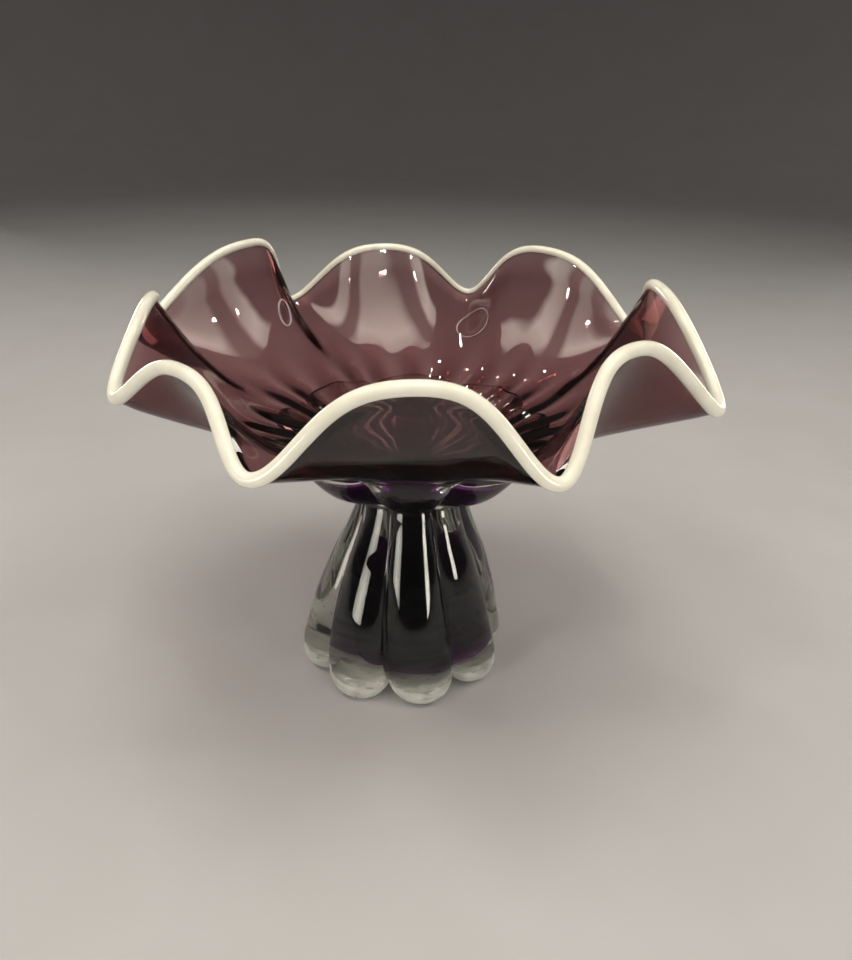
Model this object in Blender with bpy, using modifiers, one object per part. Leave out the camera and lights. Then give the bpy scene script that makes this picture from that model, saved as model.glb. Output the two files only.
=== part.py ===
# Footed glass bowl: amethyst shell with a ruffled lip, an opal white lip wrap,
# a clear ribbed collar, and a clear ribbed foot cased over a dark amethyst core.
# Metres, +Z up. The origin is on the floor at the centre of the ring of toes.

import math

import bpy
import numpy as np

# Lip: eight crests pulled in and up, eight valleys dropped out and down
RUFFLES = 8
CREST_RADIUS = 0.1025
CREST_HEIGHT = 0.167
VALLEY_RADIUS = 0.115
VALLEY_HEIGHT = 0.1395
FIRST_CREST_DEG = -87.0
CREST_FULLNESS = 0.5

# Hand-tooled unevenness of each ruffle, from the front, anticlockwise:
# lean in degrees, reach in mm and rise in mm
CREST_OFFSETS = ((-1, 2, 1), (-5, 0, 3), (4, -1, 2), (4, 3, 1),
                 (3, 2, -3), (-5, 0, 4), (-1, -5, -2), (-2, -1, -6))
VALLEY_OFFSETS = ((-1, -2, -2), (-3, 6, 0), (-2, 1, -2), (3, -4, 2),
                  (5, -1, -1), (4, 5, 1), (2, -3, 4), (-5, -3, -2))

# Shell and lip wrap
WALL = 0.003
WRAP_RADIUS = 0.0024
WRAP_THINNING = 0.2
CLEARANCE = 0.0003

# Neck of the stem, pushed a little to one side in the making
NECK_SHIFT = 0.0037
WAIST_HEIGHT = 0.085
WAIST_RADIUS = 0.0222
NECK_RADIUS = 0.0105

# Round bottom of the bowl, before the ruffles begin: middle of the wall
BASE_ABOVE_WAIST = 0.007
BASE_RADIUS = 0.056
BASE_RISE = 0.024
BASE_END_SLOPE = 0.36

# Ribs: eight, turning slightly from the toes up to the collar
RIBS = 8
TOE_TURN_DEG = -76.0
COLLAR_TURN_DEG = -92.0
RIB_ROUNDNESS = 0.9

# Collar: a rib's line from the waist to the tip, in shares of the run out and the rise
COLLAR_CURVE = ((0.0, 0.0), (0.15, 0.07), (0.36, 0.19), (0.56, 0.34), (0.75, 0.56), (0.90, 0.79))
COLLAR_TIP_DROP = 0.0015
COLLAR_GROOVE = 0.0035
COLLAR_NOTCH = 0.005

# Foot: a rib's line from the waist to the top of the toes, in shares of the spread and the fall
TOE_RADIUS = 0.046
TOE_HEIGHT = 0.017
TOE_PRESS = 0.001
STEM_RADIUS = 0.0445
STEM_CURVE = ((0.0, 0.0), (0.06, 0.07), (0.14, 0.16), (0.28, 0.28), (0.46, 0.42), (0.63, 0.57), (0.78, 0.72),
              (0.90, 0.87), (1.0, 1.0))
STEM_GROOVE_AT_WAIST = 0.0020
STEM_GROOVE_AT_TOES = 0.0068

# Toe: rib and groove lines under the stem, inwards from the toe radius, and height;
# the toes were pressed flat, so the rib line dips below the floor and is cut off there
TOE_RIB = ((0.0, 0.0095), (0.0008, 0.0040), (0.0037, 0.0008), (0.0065, -TOE_PRESS), (0.0120, -TOE_PRESS),
           (0.0165, 0.0030), (0.0230, 0.0065))
TOE_GROOVE = ((0.0090, 0.0115), (0.0105, 0.0090), (0.0120, 0.0080), (0.0135, 0.0076), (0.0160, 0.0074),
              (0.0195, 0.0073), (0.0240, 0.0073))
UNDERSIDE_HEIGHT = 0.0075

# Core: its line below the neck, in shares of the spread and of the fall to the bottom
CORE_BOTTOM = 0.012
CORE_RADIUS = 0.0265
CORE_CURVE = ((0.0, 0.0), (0.13, 0.12), (0.38, 0.26), (0.69, 0.45), (0.91, 0.64), (1.0, 0.81), (0.94, 0.92),
              (0.53, 0.99))

# Top of the core, spread under the bowl: its underside from the neck out to a thin edge,
# in shares of the run out and the rise
SPREAD_RADIUS = 0.044
SPREAD_EDGE = 0.0015
SPREAD_CURVE = ((0.0, 0.0), (0.10, 0.12), (0.34, 0.31), (0.66, 0.59), (1.0, 1.0))

# Facets
SHELL_STEPS = 16
BASE_RINGS = 5
FLARE_RINGS = 5
RIB_STEPS = 10
CORE_STEPS = 40

PART_NAME = "carnival_glass_bowl"


def clear_scene():
    for item in list(bpy.data.objects):
        bpy.data.objects.remove(item, do_unlink=True)


def make_material(name, colour, roughness):
    material = bpy.data.materials.new(name)
    material.use_nodes = True
    shader = material.node_tree.nodes["Principled BSDF"]
    shader.inputs["Base Color"].default_value = (*colour, 1.0)
    shader.inputs["Roughness"].default_value = roughness
    shader.inputs["Metallic"].default_value = 0.0
    return material


def add_object(name, data, material, collection):
    item = bpy.data.objects.new(name, data)
    collection.objects.link(item)
    data.materials.append(material)
    return item


def mesh_from_grid(name, rings, closed_loop, first_pole=None, last_pole=None):
    # Rings of equal length joined side by side, running down the outside of the body;
    # a pole closes an end to a point
    count = len(rings[0])
    points = [tuple(p) for ring in rings for p in ring]
    faces = []
    spans = len(rings) if closed_loop else len(rings) - 1
    for j in range(spans):
        k = (j + 1) % len(rings)
        for i in range(count):
            n = (i + 1) % count
            faces.append((j * count + i, k * count + i, k * count + n, j * count + n))
    if first_pole is not None:
        points.append(tuple(first_pole))
        for i in range(count):
            faces.append((len(points) - 1, i, (i + 1) % count))
    if last_pole is not None:
        points.append(tuple(last_pole))
        start = (len(rings) - 1) * count
        for i in range(count):
            faces.append((len(points) - 1, start + (i + 1) % count, start + i))
    mesh = bpy.data.meshes.new(name)
    mesh.from_pydata(points, [], faces)
    mesh.polygons.foreach_set("use_smooth", [True] * len(mesh.polygons))
    mesh.update()
    return mesh


def smooth_step(x):
    x = min(max(x, 0.0), 1.0)
    return x * x * (3.0 - 2.0 * x)


# Ruffled lip

def lip_node(index):
    # Even numbers are crests and odd numbers are valleys
    k = index // 2 % RUFFLES
    turn = 360.0 * (index // (2 * RUFFLES))
    pitch = 360.0 / RUFFLES
    if index % 2 == 0:
        lean, reach, rise = CREST_OFFSETS[k]
        angle = FIRST_CREST_DEG + pitch * k + lean + turn
        return (angle, CREST_RADIUS + reach / 1000.0, CREST_HEIGHT + rise / 1000.0)
    lean, reach, rise = VALLEY_OFFSETS[k]
    angle = FIRST_CREST_DEG + pitch * (k + 0.5) + lean + turn
    return (angle, VALLEY_RADIUS + reach / 1000.0, VALLEY_HEIGHT + rise / 1000.0)


def lip_column(index, half_steps):
    # Angle, radius and height of the lip; the crest is broad and the valley narrow
    node, step = divmod(index, half_steps)
    here = lip_node(node)
    there = lip_node(node + 1)
    share = (1.0 + math.cos(math.pi * step / half_steps)) / 2.0
    phase = math.pi * (step / half_steps if node % 2 == 0 else 1.0 - step / half_steps)
    u = phase
    for _ in range(20):
        u = phase + CREST_FULLNESS * math.sin(u)
    t = u / math.pi if node % 2 == 0 else 1.0 - u / math.pi
    angle = here[0] + (there[0] - here[0]) * t
    radius = there[1] + (here[1] - there[1]) * share
    height = there[2] + (here[2] - there[2]) * share
    return math.radians(angle), radius, height


def lip_points(half_steps):
    points = []
    for c in range(2 * RUFFLES * half_steps):
        angle, radius, height = lip_column(c, half_steps)
        points.append((radius * math.cos(angle), radius * math.sin(angle), height))
    return np.array(points)


def wrap_radius(angle):
    # The trail was laid thinner towards the back
    return WRAP_RADIUS * (1.0 - WRAP_THINNING * smooth_step(math.sin(angle)))


# Bowl surface, midway through the wall

def base_height(r):
    x = r / BASE_RADIUS
    end = BASE_END_SLOPE * BASE_RADIUS / BASE_RISE
    return WAIST_HEIGHT + BASE_ABOVE_WAIST + BASE_RISE * ((3.0 - end) * x * x - (2.0 - end) * x ** 3)


def base_slope(r):
    x = r / BASE_RADIUS
    end = BASE_END_SLOPE * BASE_RADIUS / BASE_RISE
    return BASE_RISE / BASE_RADIUS * (2.0 * (3.0 - end) * x - 3.0 * (2.0 - end) * x * x)


def bowl_point(angle, radius, height, r):
    # A point r from the axis, on the line from the base to a lip radius and height
    if r <= BASE_RADIUS:
        z = base_height(r)
    else:
        reach = radius - BASE_RADIUS
        bend = (height - base_height(BASE_RADIUS) - BASE_END_SLOPE * reach) / reach ** 2
        z = base_height(BASE_RADIUS) + BASE_END_SLOPE * (r - BASE_RADIUS) + bend * (r - BASE_RADIUS) ** 2
    away = (r - BASE_RADIUS) / (radius - BASE_RADIUS)
    shift = NECK_SHIFT * (1.0 - smooth_step(away))
    return (r * math.cos(angle) + shift, r * math.sin(angle), z)


def bowl_edge(columns, points):
    # The shell stops one clearance short of the wrap, measured square to the lip
    edge = []
    for c, (angle, radius, height) in enumerate(columns):
        along = points[(c + 1) % len(points)] - points[c - 1]
        along /= np.linalg.norm(along)
        inner = np.array(bowl_point(angle, radius, height, radius * 0.96))
        up = points[c] - inner
        up -= along * np.dot(up, along)
        up /= np.linalg.norm(up)
        edge.append(tuple(points[c] - up * (wrap_radius(angle) + CLEARANCE)))
    return edge


def make_bowl(material, collection):
    columns = [lip_column(c, SHELL_STEPS // 2) for c in range(RUFFLES * SHELL_STEPS)]
    points = lip_points(SHELL_STEPS // 2)
    rings = []
    for j in range(1, BASE_RINGS + 1):
        r = BASE_RADIUS * j / BASE_RINGS
        rings.append([bowl_point(a, radius, height, r) for a, radius, height in columns])
    for j in range(1, FLARE_RINGS):
        share = j / FLARE_RINGS
        rings.append([bowl_point(a, radius, height, BASE_RADIUS + (radius - BASE_RADIUS) * share)
                      for a, radius, height in columns])
    rings.append(bowl_edge(columns, points))
    pole = (NECK_SHIFT, 0.0, base_height(0.0))
    mesh = mesh_from_grid("bowl", rings, False, first_pole=pole)
    bowl = add_object("bowl", mesh, material, collection)
    wall = bowl.modifiers.new("wall", "SOLIDIFY")
    wall.thickness = WALL
    wall.offset = 0.0
    return bowl


def make_lip_wrap(material, collection):
    curve = bpy.data.curves.new("lip_wrap", "CURVE")
    curve.dimensions = "3D"
    curve.bevel_depth = WRAP_RADIUS
    curve.bevel_resolution = 2
    curve.resolution_u = 1
    points = lip_points(SHELL_STEPS // 2)
    spline = curve.splines.new("POLY")
    spline.points.add(len(points) - 1)
    for point, place in zip(spline.points, points):
        point.co = (*place, 1.0)
        point.radius = wrap_radius(math.atan2(place[1], place[0])) / WRAP_RADIUS
    spline.use_cyclic_u = True
    spline.use_smooth = True
    return add_object("lip_wrap", curve, material, collection)


# Ribbed stem

def rib_weight(angle, turn_deg):
    # One on the middle of a rib, falling like a round to zero in the groove
    pitch = 2.0 * math.pi / RIBS
    x = ((angle - math.radians(turn_deg)) / pitch + 0.5) % 1.0 - 0.5
    full = math.sqrt(1.0 - RIB_ROUNDNESS)
    return (math.sqrt(1.0 - RIB_ROUNDNESS * (2.0 * x) ** 2) - full) / (1.0 - full)


def stem_lean(z):
    return NECK_SHIFT * smooth_step(z / WAIST_HEIGHT)


def stem_turn(z):
    return TOE_TURN_DEG + (COLLAR_TURN_DEG - TOE_TURN_DEG) * min(max(z, 0.0) / WAIST_HEIGHT, 1.0)


def plain_ring(r, z, steps):
    # A circle round the axis of the neck and core
    ring = []
    for i in range(steps):
        angle = 2.0 * math.pi * i / steps + math.radians(COLLAR_TURN_DEG)
        ring.append((r * math.cos(angle) + NECK_SHIFT, r * math.sin(angle), z))
    return ring


def ribbed_ring(rib, groove, turn_deg, steps):
    ring = []
    for i in range(steps):
        angle = 2.0 * math.pi * i / steps + math.radians(turn_deg)
        w = rib_weight(angle, turn_deg)
        r = groove[0] + (rib[0] - groove[0]) * w
        z = max(groove[1] + (rib[1] - groove[1]) * w, 0.0)
        ring.append((r * math.cos(angle) + stem_lean(z), r * math.sin(angle), z))
    return ring


def under_bowl(r, gap):
    # Radius and height of a point a gap below the underside of the bowl
    slope = base_slope(r)
    drop = (WALL / 2.0 + gap) / math.hypot(1.0, slope)
    return r + slope * drop, base_height(r) - drop


def make_collar(material, collection):
    steps = RIBS * RIB_STEPS
    hole = NECK_RADIUS + CLEARANCE
    tip_r, top_z = under_bowl(BASE_RADIUS, CLEARANCE)
    tip_z = top_z - COLLAR_TIP_DROP
    notch_r, notch_z = under_bowl(BASE_RADIUS - COLLAR_NOTCH, CLEARANCE)
    rings = [plain_ring(hole, WAIST_HEIGHT, steps)]
    for out, rise in COLLAR_CURVE:
        r = WAIST_RADIUS + (tip_r - WAIST_RADIUS) * out
        z = WAIST_HEIGHT + (tip_z - WAIST_HEIGHT) * rise
        depth = COLLAR_GROOVE + (COLLAR_NOTCH - COLLAR_GROOVE) * out
        rings.append(ribbed_ring((r, z), (r - depth, z + depth * 0.3), COLLAR_TURN_DEG, steps))
    rings.append(ribbed_ring((tip_r, tip_z), (notch_r, notch_z - COLLAR_TIP_DROP), COLLAR_TURN_DEG, steps))
    rings.append(ribbed_ring((tip_r, top_z), (notch_r, notch_z), COLLAR_TURN_DEG, steps))
    rings.append(plain_ring(*under_bowl(SPREAD_RADIUS + CLEARANCE, CLEARANCE), steps))
    for r, z in spread_line(CLEARANCE):
        rings.append(plain_ring(r, z, steps))
    mesh = mesh_from_grid("collar", rings[::-1], True)
    return add_object("collar", mesh, material, collection)


def spread_line(gap):
    # Underside of the core's spread top, from the edge in to the neck, a gap below the glass
    edge_r, top_z = under_bowl(SPREAD_RADIUS, CLEARANCE)
    neck_z = WAIST_HEIGHT + 2.0 * CLEARANCE
    full_rise = top_z - SPREAD_EDGE - neck_z
    line = [(NECK_RADIUS, casing_top())]
    for out, rise in SPREAD_CURVE:
        line.append((NECK_RADIUS + (edge_r - NECK_RADIUS) * out, neck_z + full_rise * rise))
    moved = []
    for before, (r, z), after in zip(line, line[1:], line[2:] + line[-1:]):
        run = math.hypot(after[0] - before[0], after[1] - before[1])
        moved.append((r + gap * (after[1] - before[1]) / run, z - gap * (after[0] - before[0]) / run))
    return moved[::-1]


def casing_top():
    return WAIST_HEIGHT - CLEARANCE


def core_line():
    # Radius and height of the core, from the neck at the waist down to its rounded bottom
    fall = casing_top() - CORE_BOTTOM
    return [(NECK_RADIUS + (CORE_RADIUS - NECK_RADIUS) * out, casing_top() - fall * down)
            for out, down in CORE_CURVE]


def cavity_line():
    # The core's outline moved out by the clearance, square to the outline
    core = core_line()
    ends = [(NECK_RADIUS, 2.0 * WAIST_HEIGHT), *core, (0.0, CORE_BOTTOM)]
    line = []
    for before, (r, z), after in zip(ends, core, ends[2:]):
        run = math.hypot(after[0] - before[0], after[1] - before[1])
        out_r = (before[1] - after[1]) / run
        out_z = (after[0] - before[0]) / run
        line.append((r + CLEARANCE * out_r, z + CLEARANCE * out_z))
    line[0] = (NECK_RADIUS + CLEARANCE, casing_top())
    return line


def foot_lines():
    # Rib and groove outlines of the casing, from the waist down and under to the middle
    fall = casing_top() - TOE_HEIGHT
    lines = []
    for out, down in STEM_CURVE:
        r = WAIST_RADIUS + (STEM_RADIUS - WAIST_RADIUS) * out
        z = casing_top() - fall * down
        depth = STEM_GROOVE_AT_WAIST + (STEM_GROOVE_AT_TOES - STEM_GROOVE_AT_WAIST) * down
        lines.append(((r, z), (r - depth, z)))
    for (rib_in, rib_z), (groove_in, groove_z) in zip(TOE_RIB, TOE_GROOVE):
        lines.append(((TOE_RADIUS - rib_in, rib_z), (TOE_RADIUS - groove_in, groove_z)))
    return lines


def make_foot_casing(material, collection):
    steps = RIBS * RIB_STEPS
    rings = []
    for r, z in reversed(cavity_line()):
        rings.append(plain_ring(r, z, steps))
    for rib, groove in foot_lines():
        rings.append(ribbed_ring(rib, groove, stem_turn(rib[1]), steps))
    mesh = mesh_from_grid(
        "foot_casing",
        rings,
        False,
        first_pole=(NECK_SHIFT, 0.0, CORE_BOTTOM - CLEARANCE),
        last_pole=(stem_lean(UNDERSIDE_HEIGHT), 0.0, UNDERSIDE_HEIGHT),
    )
    return add_object("foot_casing", mesh, material, collection)


def make_foot_core(material, collection):
    outline = [(0.0, under_bowl(0.0, CLEARANCE)[1])]
    for j in range(1, BASE_RINGS):
        r = BASE_RADIUS * j / BASE_RINGS
        if r < SPREAD_RADIUS - CLEARANCE:
            outline.append(under_bowl(r, CLEARANCE))
    outline.append(under_bowl(SPREAD_RADIUS, CLEARANCE))
    outline += [*spread_line(0.0), *core_line(), (0.0, CORE_BOTTOM)]
    mesh = bpy.data.meshes.new("foot_core")
    points = [(r, 0.0, z) for r, z in outline]
    mesh.from_pydata(points, [(i, i + 1) for i in range(len(points) - 1)], [])
    core = add_object("foot_core", mesh, material, collection)
    core.location.x = NECK_SHIFT
    turned = core.modifiers.new("turned", "SCREW")
    turned.axis = "Z"
    turned.steps = CORE_STEPS
    turned.render_steps = CORE_STEPS
    turned.use_merge_vertices = True
    turned.merge_threshold = 0.0001
    turned.use_smooth_shade = True
    return core


def main():
    clear_scene()
    parts = bpy.data.collections.new(PART_NAME)
    bpy.context.scene.collection.children.link(parts)
    amethyst = make_material("amethyst_glass", (0.19, 0.09, 0.11), 0.05)
    opal = make_material("opal_white_glass", (0.90, 0.89, 0.82), 0.12)
    clear_collar = make_material("clear_collar_glass", (0.72, 0.70, 0.64), 0.04)
    clear_foot = make_material("clear_foot_glass", (0.75, 0.76, 0.70), 0.05)
    dark = make_material("dark_amethyst_glass", (0.02, 0.008, 0.018), 0.05)
    make_bowl(amethyst, parts)
    make_lip_wrap(opal, parts)
    make_collar(clear_collar, parts)
    make_foot_casing(clear_foot, parts)
    make_foot_core(dark, parts)


main()
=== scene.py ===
import math

import bmesh
import bpy
from mathutils import Matrix, Vector, noise


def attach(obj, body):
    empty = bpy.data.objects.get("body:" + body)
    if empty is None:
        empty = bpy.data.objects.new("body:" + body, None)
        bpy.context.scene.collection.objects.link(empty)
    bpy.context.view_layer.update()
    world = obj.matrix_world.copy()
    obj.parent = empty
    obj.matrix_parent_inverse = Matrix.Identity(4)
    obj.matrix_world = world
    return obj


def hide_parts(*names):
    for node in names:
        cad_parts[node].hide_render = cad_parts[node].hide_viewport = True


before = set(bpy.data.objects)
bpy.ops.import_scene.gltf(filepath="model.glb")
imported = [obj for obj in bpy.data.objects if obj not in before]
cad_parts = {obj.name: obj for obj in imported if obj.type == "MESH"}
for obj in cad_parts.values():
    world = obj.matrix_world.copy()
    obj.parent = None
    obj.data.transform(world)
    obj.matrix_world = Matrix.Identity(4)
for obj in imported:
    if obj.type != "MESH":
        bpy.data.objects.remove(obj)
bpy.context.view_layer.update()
mm = 0.001
fullTurn = 2.0 * math.pi
print("frame loaded:", sorted(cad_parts))


# small helpers for shapes

def smoothStep(x):
    x = min(max(x, 0.0), 1.0)
    return x * x * (3.0 - 2.0 * x)


def rise(x, span):
    # 0 before the span, 1 after it, and smooth between
    return smoothStep((x - span[0]) / (span[1] - span[0]))


def mix(a, b, share):
    return a + (b - a) * share


def roundNoise(angle, radius, along):
    # noise that closes on itself round the axis
    return noise.noise(Vector((radius * math.cos(angle), radius * math.sin(angle), along)))


def smoothLine(points, perSpan):
    # a flowing line through given points, perSpan steps from each to the next
    line = []
    for i in range(len(points) - 1):
        p0 = Vector(points[max(i - 1, 0)])
        p1 = Vector(points[i])
        p2 = Vector(points[i + 1])
        p3 = Vector(points[min(i + 2, len(points) - 1)])
        for step in range(perSpan):
            t = step / perSpan
            bend = (2.0 * p0 - 5.0 * p1 + 4.0 * p2 - p3) * t * t
            bend += (3.0 * p1 - p0 - 3.0 * p2 + p3) * t ** 3
            line.append(p1 + 0.5 * ((p2 - p0) * t + bend))
    line.append(Vector(points[-1]))
    return line


def rolledGrid(stations, columns, place):
    # a flat grid rolled round the axis: place(station, column) gives each point in mm,
    # and the weld closes the seam and the two poles
    weldMm = 0.002
    bm = bmesh.new()
    bmesh.ops.create_grid(bm, x_segments=columns, y_segments=stations - 1, size=0.5)
    for v in bm.verts:
        column = round((v.co.x + 0.5) * columns) % columns
        v.co = place(round((v.co.y + 0.5) * (stations - 1)), column) * mm
    bmesh.ops.remove_doubles(bm, verts=bm.verts, dist=weldMm * mm)
    return bm


def finishPiece(name, bm, material, slotName, *nodes):
    bm.normal_update()
    bmesh.ops.recalc_face_normals(bm, faces=bm.faces)
    volume = bm.calc_volume(signed=True)
    mesh = bpy.data.meshes.new(name)
    bm.to_mesh(mesh)
    bm.free()
    mesh.materials.append(material)
    mesh.polygons.foreach_set("use_smooth", [True] * len(mesh.polygons))
    piece = bpy.data.objects.new(name, mesh)
    bpy.context.scene.collection.objects.link(piece)
    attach(piece, "root")
    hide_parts(*nodes)
    print(name, len(mesh.polygons), "faces", round(volume * 1e6, 1), "cm3")
    return piece


# small helpers for materials

def hexLinear(code):
    values = []
    for i in (1, 3, 5):
        c = int(code[i:i + 2], 16) / 255.0
        values.append(c / 12.92 if c <= 0.04045 else ((c + 0.055) / 1.055) ** 2.4)
    return (*values, 1.0)


def addNode(tree, kind, values=None, links=None, stops=(), **settings):
    # stops are a colour ramp's places and colours
    node = tree.nodes.new(kind)
    for name, value in settings.items():
        setattr(node, name, value)
    for i, (position, colour) in enumerate(stops):
        if i > 1:
            node.color_ramp.elements.new(position)
        node.color_ramp.elements[i].position = position
        node.color_ramp.elements[i].color = colour
    for socket, value in (values or {}).items():
        node.inputs[socket].default_value = value
    for socket, source in (links or {}).items():
        tree.links.new(source, node.inputs[socket])
    return node


def newMaterial(name):
    material = bpy.data.materials.new(name)
    material.use_nodes = True
    material.node_tree.nodes.clear()
    return material, material.node_tree


def perMetre(sizeMm):
    # noise scale for features of this size
    return 1000.0 / sizeMm


# blown amethyst soda glass: see-through plum, fire-polished, with faint streaks from the gather
# and two pale scars where a tool touched it, each an oval drawn with two pins and a string, in mm
amethyst = {
    "tint": "#fbf5f5",
    "streak": "#efe4e6",
    "absorbs": "#b34854",
    "density": 560.0,
    "ior": 1.5,
    "streakMm": 30.0,
    "streakSquash": (1.0, 1.0, 0.35),  # below 1 in height, so the streaks stand tall
    "roughest": 0.03,
    "waveMm": 14.0,
    "waveDeepMm": 2.0,
    "waveStrength": 0.06,
    "scars": (
        ((33.0, 80.8, 132.9), (33.0, 80.8, 132.9), 17.2),
        ((-54.3, 58.3, 137.8), (-56.8, 65.6, 146.6), 13.1),
    ),
    "scarMm": 0.5,
    "scarHaze": 0.85,
}


def makeAmethyst():
    material, tree = newMaterial("blownAmethystGlass")
    place = addNode(tree, "ShaderNodeTexCoord")
    stretch = addNode(tree, "ShaderNodeMapping", {"Scale": amethyst["streakSquash"]},
                      {"Vector": place.outputs["Object"]})
    streaks = addNode(tree, "ShaderNodeTexNoise",
                      {"Scale": perMetre(amethyst["streakMm"]), "Detail": 3.0},
                      {"Vector": stretch.outputs["Vector"]})
    tint = addNode(tree, "ShaderNodeValToRGB", links={"Fac": streaks.outputs["Fac"]},
                   stops=((0.35, hexLinear(amethyst["streak"])), (0.65, hexLinear(amethyst["tint"]))))
    polish = addNode(tree, "ShaderNodeMapRange", {"To Min": 0.0, "To Max": amethyst["roughest"]},
                     {"Value": streaks.outputs["Fac"]})
    wave = addNode(tree, "ShaderNodeTexNoise",
                   {"Scale": perMetre(amethyst["waveMm"]), "Detail": 1.0},
                   {"Vector": place.outputs["Object"]})
    bump = addNode(tree, "ShaderNodeBump",
                   {"Strength": amethyst["waveStrength"], "Distance": amethyst["waveDeepMm"] * mm},
                   {"Height": wave.outputs["Fac"]})
    rings = []
    for pinA, pinB, string in amethyst["scars"]:
        fromPins = [addNode(tree, "ShaderNodeVectorMath", {1: Vector(pin) * mm},
                            {0: place.outputs["Object"]}, operation="DISTANCE") for pin in (pinA, pinB)]
        reach = addNode(tree, "ShaderNodeMath",
                        links={0: fromPins[0].outputs["Value"], 1: fromPins[1].outputs["Value"]})
        rings.append(addNode(tree, "ShaderNodeMath", {1: string * mm, 2: amethyst["scarMm"] * mm},
                             {0: reach.outputs["Value"]}, operation="COMPARE"))
    scar = addNode(tree, "ShaderNodeMath",
                   links={0: rings[0].outputs["Value"], 1: rings[1].outputs["Value"]},
                   operation="MAXIMUM")
    broken = addNode(tree, "ShaderNodeMath",
                     links={0: scar.outputs["Value"], 1: wave.outputs["Fac"]}, operation="MULTIPLY")
    seeThrough = addNode(tree, "ShaderNodeMapRange",
                         {"To Min": 1.0, "To Max": 1.0 - amethyst["scarHaze"]},
                         {"Value": broken.outputs["Value"]})
    glass = addNode(tree, "ShaderNodeBsdfPrincipled", {"IOR": amethyst["ior"]},
                    {"Base Color": tint.outputs["Color"], "Roughness": polish.outputs["Result"],
                     "Transmission Weight": seeThrough.outputs["Result"],
                     "Normal": bump.outputs["Normal"]})
    body = addNode(tree, "ShaderNodeVolumeAbsorption",
                   {"Color": hexLinear(amethyst["absorbs"]), "Density": amethyst["density"]})
    addNode(tree, "ShaderNodeOutputMaterial",
            links={"Surface": glass.outputs["BSDF"], "Volume": body.outputs["Volume"]})
    return material


# opal white glass trail: opaque and glossy, a warm white with a faint cloudiness
opal = {
    "white": "#f5f2e6",
    "cloud": "#ebe7d8",
    "ior": 1.5,
    "cloudMm": 9.0,
    "cloudDeepMm": 1.0,
    "cloudStrength": 0.08,
    "smoothest": 0.08,
    "roughest": 0.2,
}


def makeOpal():
    material, tree = newMaterial("opalWhiteGlass")
    place = addNode(tree, "ShaderNodeTexCoord")
    clouds = addNode(tree, "ShaderNodeTexNoise",
                     {"Scale": perMetre(opal["cloudMm"]), "Detail": 4.0},
                     {"Vector": place.outputs["Object"]})
    white = addNode(tree, "ShaderNodeValToRGB", links={"Fac": clouds.outputs["Fac"]},
                    stops=((0.3, hexLinear(opal["cloud"])), (0.6, hexLinear(opal["white"]))))
    gloss = addNode(tree, "ShaderNodeMapRange",
                    {"To Min": opal["smoothest"], "To Max": opal["roughest"]},
                    {"Value": clouds.outputs["Fac"]})
    bump = addNode(tree, "ShaderNodeBump",
                   {"Strength": opal["cloudStrength"], "Distance": opal["cloudDeepMm"] * mm},
                   {"Height": clouds.outputs["Fac"]})
    glass = addNode(tree, "ShaderNodeBsdfPrincipled", {"IOR": opal["ior"]},
                    {"Base Color": white.outputs["Color"], "Roughness": gloss.outputs["Result"],
                     "Normal": bump.outputs["Normal"]})
    addNode(tree, "ShaderNodeOutputMaterial", links={"Surface": glass.outputs["BSDF"]})
    return material


# clear soda glass, tooled hot: colourless with a trace of grey green; low on the toes it chilled
# first, which leaves a frosted skin with level lines
clear = {
    "bright": "#fdfefb",
    "dull": "#f6f8f1",
    "absorbs": "#dfe6d6",
    "density": 6.0,
    "ior": 1.5,
    "chillMm": 1.9,
    "chillSquash": (0.3, 0.3, 1.0),  # below 1 sideways, so the lines run level
    "chillDeepMm": 1.4,
    "chillStrength": 0.6,
    "roughest": 0.9,
    "frost": 0.9,
    "frostSpan": (0.12, 0.75),  # strength of the skin from the first frost to the most
    "frostFromMm": 16.0,
    "frostFullMm": 7.5,
}


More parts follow.
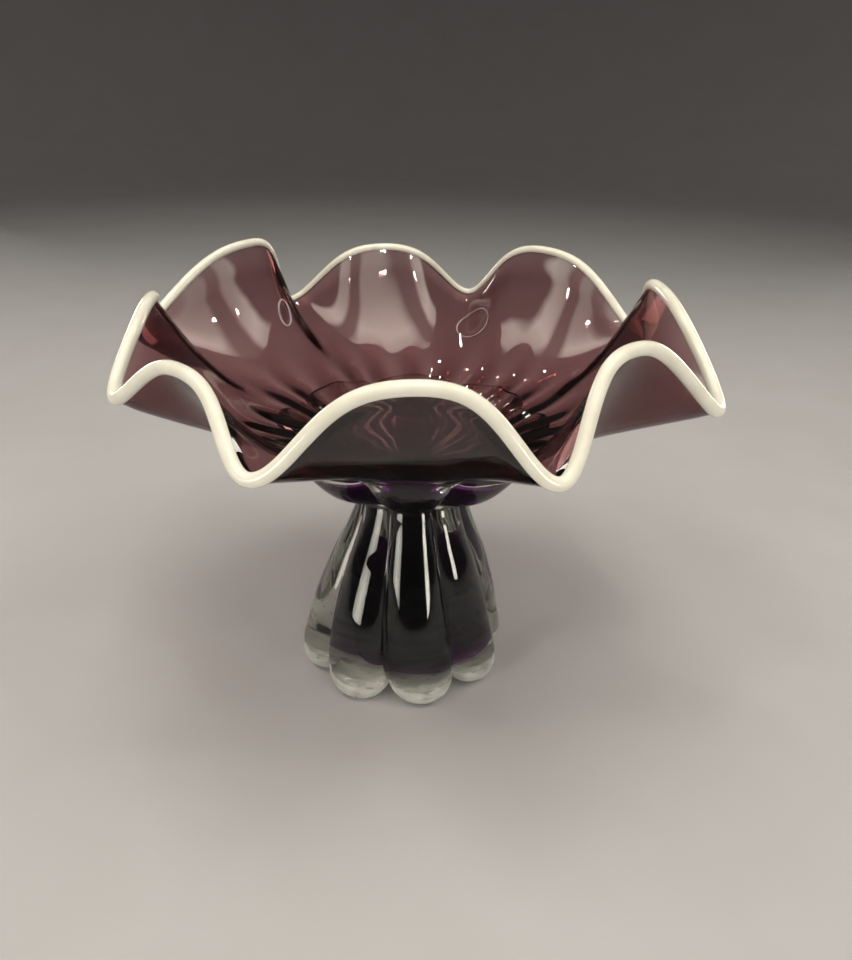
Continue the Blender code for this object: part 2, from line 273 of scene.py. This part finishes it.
def makeClear():
    material, tree = newMaterial("tooledClearGlass")
    place = addNode(tree, "ShaderNodeTexCoord")
    drawn = addNode(tree, "ShaderNodeMapping", {"Scale": clear["chillSquash"]},
                    {"Vector": place.outputs["Object"]})
    chill = addNode(tree, "ShaderNodeTexNoise",
                    {"Scale": perMetre(clear["chillMm"]), "Detail": 2.0},
                    {"Vector": drawn.outputs["Vector"]})
    height = addNode(tree, "ShaderNodeSeparateXYZ", links={"Vector": place.outputs["Object"]})
    onToes = addNode(tree, "ShaderNodeMapRange",
                     {"From Min": clear["frostFullMm"] * mm, "From Max": clear["frostFromMm"] * mm,
                      "To Min": 1.0, "To Max": 0.0},
                     {"Value": height.outputs["Z"]})
    skin = addNode(tree, "ShaderNodeMath",
                   links={0: chill.outputs["Fac"], 1: onToes.outputs["Result"]}, operation="MULTIPLY")
    tint = addNode(tree, "ShaderNodeValToRGB", links={"Fac": chill.outputs["Fac"]},
                   stops=((0.0, hexLinear(clear["dull"])), (1.0, hexLinear(clear["bright"]))))
    polish = addNode(tree, "ShaderNodeMapRange", {"To Min": 0.0, "To Max": clear["roughest"]},
                     {"Value": skin.outputs["Value"]})
    seeThrough = addNode(tree, "ShaderNodeMapRange",
                         {"From Min": clear["frostSpan"][0], "From Max": clear["frostSpan"][1],
                          "To Min": 1.0, "To Max": 1.0 - clear["frost"]},
                         {"Value": skin.outputs["Value"]})
    bump = addNode(tree, "ShaderNodeBump",
                   {"Strength": clear["chillStrength"], "Distance": clear["chillDeepMm"] * mm},
                   {"Height": skin.outputs["Value"]})
    glass = addNode(tree, "ShaderNodeBsdfPrincipled", {"IOR": clear["ior"]},
                    {"Base Color": tint.outputs["Color"], "Roughness": polish.outputs["Result"],
                     "Transmission Weight": seeThrough.outputs["Result"],
                     "Normal": bump.outputs["Normal"]})
    body = addNode(tree, "ShaderNodeVolumeAbsorption",
                   {"Color": hexLinear(clear["absorbs"]), "Density": clear["density"]})
    addNode(tree, "ShaderNodeOutputMaterial",
            links={"Surface": glass.outputs["BSDF"], "Volume": body.outputs["Volume"]})
    return material


# dark amethyst gather: nearly black in the thick, violet where light gets through
darkGlass = {
    "tint": "#f2e4f2",
    "streak": "#d9bcd9",
    "absorbs": "#c242ce",
    "density": 290.0,
    "ior": 1.02,  # the core is fused into clear glass, so this is against that glass, not air
    "streakMm": 8.0,
    "streakSquash": (1.0, 1.0, 0.2),
    "roughest": 0.04,
}


def makeDark():
    material, tree = newMaterial("darkAmethystGlass")
    place = addNode(tree, "ShaderNodeTexCoord")
    stretch = addNode(tree, "ShaderNodeMapping", {"Scale": darkGlass["streakSquash"]},
                      {"Vector": place.outputs["Object"]})
    streaks = addNode(tree, "ShaderNodeTexNoise",
                      {"Scale": perMetre(darkGlass["streakMm"]), "Detail": 2.0},
                      {"Vector": stretch.outputs["Vector"]})
    tint = addNode(tree, "ShaderNodeValToRGB", links={"Fac": streaks.outputs["Fac"]},
                   stops=((0.0, hexLinear(darkGlass["streak"])), (1.0, hexLinear(darkGlass["tint"]))))
    polish = addNode(tree, "ShaderNodeMapRange", {"To Min": 0.0, "To Max": darkGlass["roughest"]},
                     {"Value": streaks.outputs["Fac"]})
    glass = addNode(tree, "ShaderNodeBsdfPrincipled",
                    {"IOR": darkGlass["ior"], "Transmission Weight": 1.0},
                    {"Base Color": tint.outputs["Color"], "Roughness": polish.outputs["Result"]})
    body = addNode(tree, "ShaderNodeVolumeAbsorption",
                   {"Color": hexLinear(darkGlass["absorbs"]), "Density": darkGlass["density"]})
    addNode(tree, "ShaderNodeOutputMaterial",
            links={"Surface": glass.outputs["BSDF"], "Volume": body.outputs["Volume"]})
    return material


# the shell: a round bottom that opens into eight crests and eight valleys, sizes in mm;
# each offset is lean in degrees, reach and rise, and each span is a stretch of the wall, which
# runs from 0 at the middle over 1 at the edge of the round bottom to 2 at the lip
shell = {
    "ruffles": 8,
    "crest": (102.5, 167.0),
    "valley": (115.0, 139.5),
    "firstCrestDeg": -87.0,
    "crestFullness": 0.5,
    "crestOffsets": (
        (-1, 2, 1), (-5, 0, 3), (4, -1, 2), (4, 3, 1),
        (3, 2, -3), (-5, 0, 4), (-1, -5, -2), (-2, -1, -6),
    ),
    "valleyOffsets": (
        (-1, -2, -2), (-3, 6, 0), (-2, 1, -2), (3, -4, 2),
        (5, -1, -1), (4, 5, 1), (2, -3, 4), (-5, -3, -2),
    ),
    "bottomHeight": 92.0,
    "baseRadius": 56.0,
    "baseRise": 24.0,
    "baseEndSlope": 0.36,
    "neckShift": 3.7,
    "wallAtBottom": 3.2,
    "wallAtLip": 2.6,
    "wallAtEdge": 1.7,
    "wallSpan": (0.6, 1.6),
    "edgeSpan": (1.86, 2.0),
    "gatherMm": 2.4,
    "gatherSpan": (0.0, 1.1),
    "columns": 384,
    "baseRings": 22,
    "flareRings": 54,
    "flutes": 24,
    "fluteMm": 0.7,
    "fluteRiseSpan": (0.0, 0.5),
    "fluteFadeSpan": (0.9, 1.5),
    "fluteSway": 2.5,
    "fluteSwaySize": 2.0,
    "unevenMm": 0.25,
    "unevenSizeMm": 28.0,
    "streakMm": 0.09,
    "streaksRound": 60,
    "streakRiseSpan": (0.0, 0.8),
    "streakFadeSpan": (1.3, 1.9),
}


def lipNode(index):
    # even numbers are crests and odd numbers are valleys: angle in degrees, radius and height
    turn, k = divmod(index // 2, shell["ruffles"])
    pitch = 360.0 / shell["ruffles"]
    isCrest = index % 2 == 0
    lean, reach, lift = shell["crestOffsets" if isCrest else "valleyOffsets"][k]
    radius, height = shell["crest" if isCrest else "valley"]
    angle = shell["firstCrestDeg"] + pitch * (k if isCrest else k + 0.5) + lean + 360.0 * turn
    return angle, radius + reach, height + lift


def lipColumn(column):
    # angle, radius and height of the lip; a crest is broad and a valley narrow
    halfSteps = shell["columns"] // (2 * shell["ruffles"])
    node, step = divmod(column, halfSteps)
    here = lipNode(node)
    there = lipNode(node + 1)
    part = step / halfSteps
    phase = math.pi * (part if node % 2 == 0 else 1.0 - part)
    u = phase
    for _ in range(20):  # settles well before the last round
        u = phase + shell["crestFullness"] * math.sin(u)
    along = u / math.pi if node % 2 == 0 else 1.0 - u / math.pi
    share = (1.0 - math.cos(math.pi * part)) / 2.0
    angle = math.radians(mix(here[0], there[0], along))
    return angle, mix(here[1], there[1], share), mix(here[2], there[2], share)


lip = [lipColumn(c) for c in range(shell["columns"])]


def baseHeight(r):
    x = r / shell["baseRadius"]
    end = shell["baseEndSlope"] * shell["baseRadius"] / shell["baseRise"]
    return shell["bottomHeight"] + shell["baseRise"] * ((3.0 - end) * x * x - (2.0 - end) * x ** 3)


def wallPoint(column, along):
    # middle of the wall
    angle, radius, height = lip[column % len(lip)]
    base = shell["baseRadius"]
    if along <= 1.0:
        r = base * along
        z = baseHeight(r)
        shift = shell["neckShift"]
    else:
        out = (radius - base) * (along - 1.0)
        reach = radius - base
        slope = shell["baseEndSlope"]
        bend = (height - baseHeight(base) - slope * reach) / reach ** 2
        r = base + out
        z = baseHeight(base) + slope * out + bend * out * out
        shift = shell["neckShift"] * (1.0 - smoothStep(along - 1.0))
    return Vector((r * math.cos(angle) + shift, r * math.sin(angle), z))


def wallNormal(column, along):
    # square to the wall, on the inside of the bowl
    step = 0.01
    along = max(along, 2.0 * step)
    sideways = wallPoint(column + 1, along) - wallPoint(column - 1, along)
    outward = wallPoint(column, min(along + step, 2.0)) - wallPoint(column, along - step)
    return sideways.cross(outward).normalized() * -1.0


def makeShell(material):
    base = [j / shell["baseRings"] for j in range(shell["baseRings"] + 1)]
    flare = [1.0 + j / shell["flareRings"] for j in range(1, shell["flareRings"] + 1)]
    rings = base + flare
    stations = [(along, -1.0) for along in rings] + [(along, 1.0) for along in reversed(rings)]

    def place(station, column):
        along, side = stations[station]
        angle = lip[column][0]
        wall = mix(shell["wallAtBottom"], shell["wallAtLip"], rise(along, shell["wallSpan"]))
        wall = mix(wall, shell["wallAtEdge"], rise(along, shell["edgeSpan"]))
        point = wallPoint(column, along)
        uneven = shell["unevenMm"] * noise.noise(point / shell["unevenSizeMm"]) * smoothStep(along)
        sway = shell["fluteSway"] * roundNoise(angle, shell["fluteSwaySize"], along)
        flute = shell["fluteMm"] * math.cos(shell["flutes"] * angle + sway)
        flute *= rise(along, shell["fluteRiseSpan"]) * (1.0 - rise(along, shell["fluteFadeSpan"]))
        gather = shell["gatherMm"] * (1.0 - rise(along, shell["gatherSpan"]))
        streak = shell["streakMm"] * roundNoise(angle, shell["streaksRound"] / fullTurn, along)
        streak *= rise(along, shell["streakRiseSpan"]) * (1.0 - rise(along, shell["streakFadeSpan"]))
        normal = wallNormal(column, along) if along > 0.0 else Vector((0.0, 0.0, 1.0))
        inside = max(side, 0.0) * (flute + gather + streak)
        return point + normal * (side * wall / 2.0 + inside + uneven)

    bm = rolledGrid(len(stations), shell["columns"], place)
    return finishPiece("bowlShell", bm, material, "amethyst_glass", "bowl")


# the trail of white glass round the lip, sizes in mm
trail = {
    "radius": 2.45,
    "thinnerAtBack": 0.22,
    "backSpan": (0.0, 100.0),
    "handWobble": 0.035,
    "wobbleSizeMm": 24.0,
    "sides": 20,
}


def makeTrail(material):
    lipEnd = 2.0
    belowLip = 1.95

    def place(station, column):
        around = fullTurn * station / trail["sides"]
        point = wallPoint(column, lipEnd)
        run = (wallPoint(column + 1, lipEnd) - wallPoint(column - 1, lipEnd)).normalized()
        up = point - wallPoint(column, belowLip)
        up = (up - run * up.dot(run)).normalized()
        across = run.cross(up)
        thinner = trail["thinnerAtBack"] * rise(point.y, trail["backSpan"])
        wobble = noise.noise(point / trail["wobbleSizeMm"]) * trail["handWobble"]
        thick = trail["radius"] * (1.0 - thinner) * (1.0 + wobble)
        return point + (up * math.cos(around) + across * math.sin(around)) * thick

    bm = rolledGrid(trail["sides"] + 1, shell["columns"], place)
    return finishPiece("lipTrail", bm, material, "opal_glass", "lip_wrap")


# the clear stem: collar, waist, ribs and toes;
# each line is rib radius and height, groove radius and height, in mm
stem = {
    "ribs": 8,
    "toeTurnDeg": -76.0,
    "collarTurnDeg": -92.0,
    "roundness": 0.9,
    "waistHeight": 85.0,
    "neckShift": 3.7,
    "columns": 384,
    "perSpan": 5,
    "chillMm": 0.2,
    "chillSizeMm": 6.0,
    "chillSpan": (8.0, 20.0),  # heights between which the ripples of the toes fade
    "lines": (
        (0.0, 90.1, 0.0, 90.1),
        (11.7, 92.0, 11.7, 92.0),
        (23.1, 96.8, 23.1, 96.8),
        (34.4, 102.9, 34.4, 102.9),
        (45.5, 109.1, 44.5, 108.6),
        (55.4, 113.5, 50.0, 111.2),
        (56.6, 112.4, 50.6, 110.0),
        (53.4, 106.6, 45.6, 107.4),
        (48.4, 99.8, 39.6, 102.4),
        (42.0, 93.6, 33.4, 97.2),
        (35.0, 89.4, 27.6, 93.2),
        (28.0, 86.4, 22.6, 89.6),
        (22.8, 84.4, 19.4, 86.0),
        (23.5, 80.0, 21.2, 80.0),
        (25.3, 73.9, 22.5, 73.9),
        (28.4, 65.7, 25.1, 65.7),
        (32.5, 56.3, 28.5, 56.3),
        (36.2, 46.1, 31.5, 46.1),
        (39.6, 36.0, 34.1, 36.0),
        (42.3, 25.8, 36.1, 25.8),
        (44.5, 17.0, 37.7, 17.0),
        (46.0, 9.5, 37.0, 11.5),
        (45.2, 4.0, 35.5, 9.0),
        (42.3, 0.8, 34.0, 8.0),
        (39.5, -1.0, 32.5, 7.6),
        (34.0, -1.0, 30.0, 7.4),
        (29.5, 3.0, 26.5, 7.3),
        (23.0, 6.5, 22.0, 7.3),
        (0.0, 7.5, 0.0, 7.5),
    ),
}


def stemPoint(line, angle):
    # heights below the floor are cut off at it, which presses the toes flat
    ribR, ribZ, grooveR, grooveZ = line
    climb = min(max(ribZ, 0.0) / stem["waistHeight"], 1.0)
    turn = math.radians(mix(stem["toeTurnDeg"], stem["collarTurnDeg"], climb))
    x = (angle * stem["ribs"] / fullTurn + 0.5) % 1.0 - 0.5
    full = math.sqrt(1.0 - stem["roundness"])
    onRib = (math.sqrt(1.0 - stem["roundness"] * (2.0 * x) ** 2) - full) / (1.0 - full)
    r = mix(grooveR, ribR, onRib)
    z = max(mix(grooveZ, ribZ, onRib), 0.0)
    lean = stem["neckShift"] * smoothStep(z / stem["waistHeight"])
    return Vector((r * math.cos(angle + turn) + lean, r * math.sin(angle + turn), z))


def makeStem(material):
    lines = smoothLine(stem["lines"], stem["perSpan"])

    def place(station, column):
        point = stemPoint(lines[station], fullTurn * column / stem["columns"])
        chill = 1.0 - rise(point.z, stem["chillSpan"])
        out = Vector((point.x, point.y, 0.0)).normalized()
        ripple = noise.noise(point / stem["chillSizeMm"]) * stem["chillMm"] * chill
        return point + out * ripple

    bm = rolledGrid(len(lines), stem["columns"], place)
    return finishPiece("clearStem", bm, material, "clear_glass", "collar", "foot_casing")


# the dark core inside the stem: spread under the bowl, a slim neck, and full in the ribs below;
# each line is rib radius and height, groove radius and height, in mm
core = {
    "shift": 0.6,
    "toeShift": 4.4,
    "columns": 240,
    "perSpan": 4,
    "lines": (
        (0.0, 89.7, 0.0, 89.7),
        (11.7, 91.7, 11.7, 91.7),
        (23.2, 96.4, 23.2, 96.4),
        (32.0, 101.0, 31.0, 100.5),
        (38.6, 104.6, 34.2, 102.2),
        (39.2, 103.2, 34.0, 101.0),
        (35.4, 98.4, 29.6, 98.2),
        (29.6, 94.0, 24.4, 95.0),
        (23.4, 90.6, 19.2, 92.0),
        (13.6, 87.6, 11.8, 88.6),
        (6.8, 83.6, 6.4, 84.0),
        (5.8, 76.0, 5.2, 76.0),
        (9.6, 65.8, 8.2, 65.8),
        (17.4, 52.0, 15.0, 52.0),
        (25.4, 38.2, 21.8, 38.2),
        (29.0, 25.8, 25.2, 25.8),
        (29.4, 16.0, 25.6, 16.0),
        (28.6, 10.8, 24.8, 10.8),
        (24.6, 8.9, 21.6, 8.9),
        (0.0, 8.6, 0.0, 8.6),
    ),
}


def makeCore(material):
    lines = smoothLine(core["lines"], core["perSpan"])

    def place(station, column):
        point = stemPoint(lines[station], fullTurn * column / core["columns"])
        point.x += mix(core["toeShift"], core["shift"], smoothStep(point.z / stem["waistHeight"]))
        return point

    bm = rolledGrid(len(lines), core["columns"], place)
    return finishPiece("darkCore", bm, material, "dark_amethyst_glass", "foot_core")


makeShell(makeAmethyst())
makeTrail(makeOpal())
makeStem(makeClear())
makeCore(makeDark())


# pale floor that sweeps up all round, in metres; painted shade darkens its colour from fadeSpan
# outwards, so the far floor and wall look dimmer
studio = {
    "floor": "#c8c7cb",
    "farShade": "#969599",
    "fadeSpan": (0.5, 1.6),
    "grain": "#f4f3f1",
    "grainMm": 60.0,
    "flat": 1.4,
    "wall": 2.2,
    "height": 1.6,
    "bendSteps": 12,
    "spinSteps": 96,
    "weld": 1e-5,
}


def makeFloor():
    material, tree = newMaterial("paleMattFloor")
    place = addNode(tree, "ShaderNodeTexCoord")
    grain = addNode(tree, "ShaderNodeTexNoise",
                    {"Scale": perMetre(studio["grainMm"]), "Detail": 2.0},
                    {"Vector": place.outputs["Object"]})
    mottle = addNode(tree, "ShaderNodeValToRGB", links={"Fac": grain.outputs["Fac"]},
                     stops=((0.0, hexLinear(studio["grain"])), (1.0, hexLinear("#ffffff"))))
    # painted shade: the floor colour darkens with distance from the middle, from floor towards the far
    # shade colour
    away = addNode(tree, "ShaderNodeVectorMath", links={0: place.outputs["Object"]},
                   operation="LENGTH")
    fade = addNode(tree, "ShaderNodeMapRange",
                   {"From Min": studio["fadeSpan"][0], "From Max": studio["fadeSpan"][1]},
                   {"Value": away.outputs["Value"]}, interpolation_type="SMOOTHSTEP")
    sweep = addNode(tree, "ShaderNodeValToRGB", links={"Fac": fade.outputs["Result"]},
                    stops=((0.0, hexLinear(studio["floor"])), (1.0, hexLinear(studio["farShade"]))))
    tint = addNode(tree, "ShaderNodeMix", {"Factor": 1.0},
                   {"A": sweep.outputs["Color"], "B": mottle.outputs["Color"]},
                   data_type="RGBA", blend_type="MULTIPLY")
    paint = addNode(tree, "ShaderNodeBsdfPrincipled", {"Roughness": 0.9, "Specular IOR Level": 0.1},
                    {"Base Color": tint.outputs["Result"]})
    addNode(tree, "ShaderNodeOutputMaterial", links={"Surface": paint.outputs["BSDF"]})
    bm = bmesh.new()
    outline = [(0.0, 0.0), (studio["flat"] * 0.5, 0.0), (studio["flat"], 0.0)]
    bend = studio["wall"] - studio["flat"]
    for step in range(1, studio["bendSteps"] + 1):
        turn = math.radians(90.0 * step / studio["bendSteps"])
        outline.append((studio["flat"] + bend * math.sin(turn), bend * (1.0 - math.cos(turn))))
    outline.append((studio["wall"], studio["height"]))
    line = [bm.verts.new((x, 0.0, z)) for x, z in outline]
    edges = [bm.edges.new(pair) for pair in zip(line, line[1:])]
    bmesh.ops.spin(bm, geom=line + edges, cent=(0, 0, 0), axis=(0, 0, 1), angle=fullTurn,
                   steps=studio["spinSteps"], use_merge=True, use_duplicate=False)
    bmesh.ops.remove_doubles(bm, verts=bm.verts, dist=studio["weld"])
    bmesh.ops.recalc_face_normals(bm, faces=bm.faces)
    mesh = bpy.data.meshes.new("studioFloor")
    bm.to_mesh(mesh)
    bm.free()
    mesh.materials.append(material)
    mesh.polygons.foreach_set("use_smooth", [True] * len(mesh.polygons))
    floor = bpy.data.objects.new("studioFloor", mesh)
    bpy.context.scene.collection.objects.link(floor)
    return floor


# soft boxes: place, width and height in metres, watts, and spread of the beam in degrees;
# a narrow beam keeps the low boxes off the floor, so they show only as streaks in the ribs
lamps = {
    "ceilingPanel": ((0.0, -0.42, 1.2), 1.9, 1.2, 45.0, 180.0),
    "leftWindow": ((-0.88, -0.74, 0.17), 0.60, 0.30, 0.44, 50.0),
    "rightStrip": ((0.80, -0.80, 0.17), 0.25, 0.30, 0.30, 50.0),
    "leftBulb": ((-0.42, -0.40, 1.0), 0.04, 0.04, 0.5, 180.0),
    "middleBulb": ((0.12, -0.46, 1.0), 0.04, 0.04, 0.5, 180.0),
    "rightBulb": ((0.46, -0.30, 1.0), 0.04, 0.04, 0.5, 180.0),
    "backBulb": ((-0.20, 0.55, 0.9), 0.04, 0.04, 0.5, 180.0),
    "backLeftStrip": ((-0.75, 0.95, 0.20), 0.30, 0.36, 0.25, 50.0),
    "backRightStrip": ((0.85, 0.85, 0.20), 0.30, 0.36, 0.25, 50.0),
}
light = {
    "lamp": "#fff9ea",
    "sky": "#f4efe8",
    "skyStrength": 0.12,
    "aim": (0.0, 0.0, 0.09),
}

# brightness of the ceiling panel, as place and level: three bars across it, dimmer to the front
panel = {
    "across": (
        (0.0, 0.0), (0.06, 1.0), (0.2, 1.0), (0.26, 0.1), (0.38, 0.1), (0.43, 1.0),
        (0.57, 1.0), (0.62, 0.1), (0.74, 0.1), (0.8, 1.0), (0.94, 1.0), (1.0, 0.0),
    ),
    "along": ((0.0, 0.2), (0.5, 0.5), (0.8, 1.0), (1.0, 0.6)),
}


def softenPanel(lamp):
    # the panel hangs level, so its bars show in the petals as tall bright bands
    lamp.use_nodes = True
    tree = lamp.node_tree
    tree.nodes.clear()
    onPanel = addNode(tree, "ShaderNodeNewGeometry")
    place = addNode(tree, "ShaderNodeSeparateXYZ", links={"Vector": onPanel.outputs["Parametric"]})
    across = addNode(tree, "ShaderNodeValToRGB", links={"Fac": place.outputs["X"]},
                     stops=[(at, (level, level, level, 1.0)) for at, level in panel["across"]])
    along = addNode(tree, "ShaderNodeValToRGB", links={"Fac": place.outputs["Y"]},
                    stops=[(at, (level, level, level, 1.0)) for at, level in panel["along"]])
    bars = addNode(tree, "ShaderNodeMath",
                   links={0: across.outputs["Color"], 1: along.outputs["Color"]}, operation="MULTIPLY")
    glow = addNode(tree, "ShaderNodeEmission", links={"Strength": bars.outputs["Value"]})
    addNode(tree, "ShaderNodeOutputLight", links={"Surface": glow.outputs["Emission"]})


def makeLights():
    aim = Vector(light["aim"])
    for name, (place, width, height, watts, spread) in lamps.items():
        lamp = bpy.data.lights.new(name, "AREA")
        lamp.shape = "RECTANGLE"
        lamp.size = width
        lamp.size_y = height
        lamp.energy = watts
        lamp.color = hexLinear(light["lamp"])[:3]
        lamp.spread = math.radians(spread)
        box = bpy.data.objects.new(name, lamp)
        box.location = place
        box.visible_camera = False
        if name == "ceilingPanel":
            softenPanel(lamp)
        else:
            box.rotation_euler = (aim - Vector(place)).to_track_quat("-Z", "Y").to_euler()
        bpy.context.scene.collection.objects.link(box)
    world = bpy.data.worlds.new("paleRoom")
    world.use_nodes = True
    world.node_tree.nodes.clear()
    sky = addNode(world.node_tree, "ShaderNodeBackground",
                  {"Color": hexLinear(light["sky"]), "Strength": light["skyStrength"]})
    addNode(world.node_tree, "ShaderNodeOutputWorld", links={"Surface": sky.outputs["Background"]})
    bpy.context.scene.world = world


# the photograph's view: its place and nearest distance in metres, the way it looks, its upper
# side, and the lens and sensor in mm
view = {
    "place": (0.0, -0.33647, 0.25421),
    "towards": (0.02497, 0.89577, -0.44382),
    "up": (-0.00975, 0.44415, 0.8959),
    "lens": 33.0,
    "sensor": 36.0,
    "nearest": 0.01,
}


def makeCamera():
    data = bpy.data.cameras.new("photoView")
    data.lens = view["lens"]
    data.sensor_width = view["sensor"]
    data.clip_start = view["nearest"]
    camera = bpy.data.objects.new("photoView", data)
    towards = Vector(view["towards"]).normalized()
    up = Vector(view["up"])
    right = towards.cross(up).normalized()
    up = right.cross(towards)
    turn = Matrix((right, up, -towards)).transposed().to_4x4()
    camera.matrix_world = Matrix.Translation(view["place"]) @ turn
    bpy.context.scene.collection.objects.link(camera)
    bpy.context.scene.camera = camera


makeFloor()
makeLights()
makeCamera()
bpy.context.scene.view_settings.view_transform = "Standard"
bpy.context.scene.cycles.max_bounces = 24  # light crosses many faces in the stem
bpy.context.scene.cycles.glossy_bounces = 12
bpy.context.scene.cycles.transmission_bounces = 24
print("studio ready")
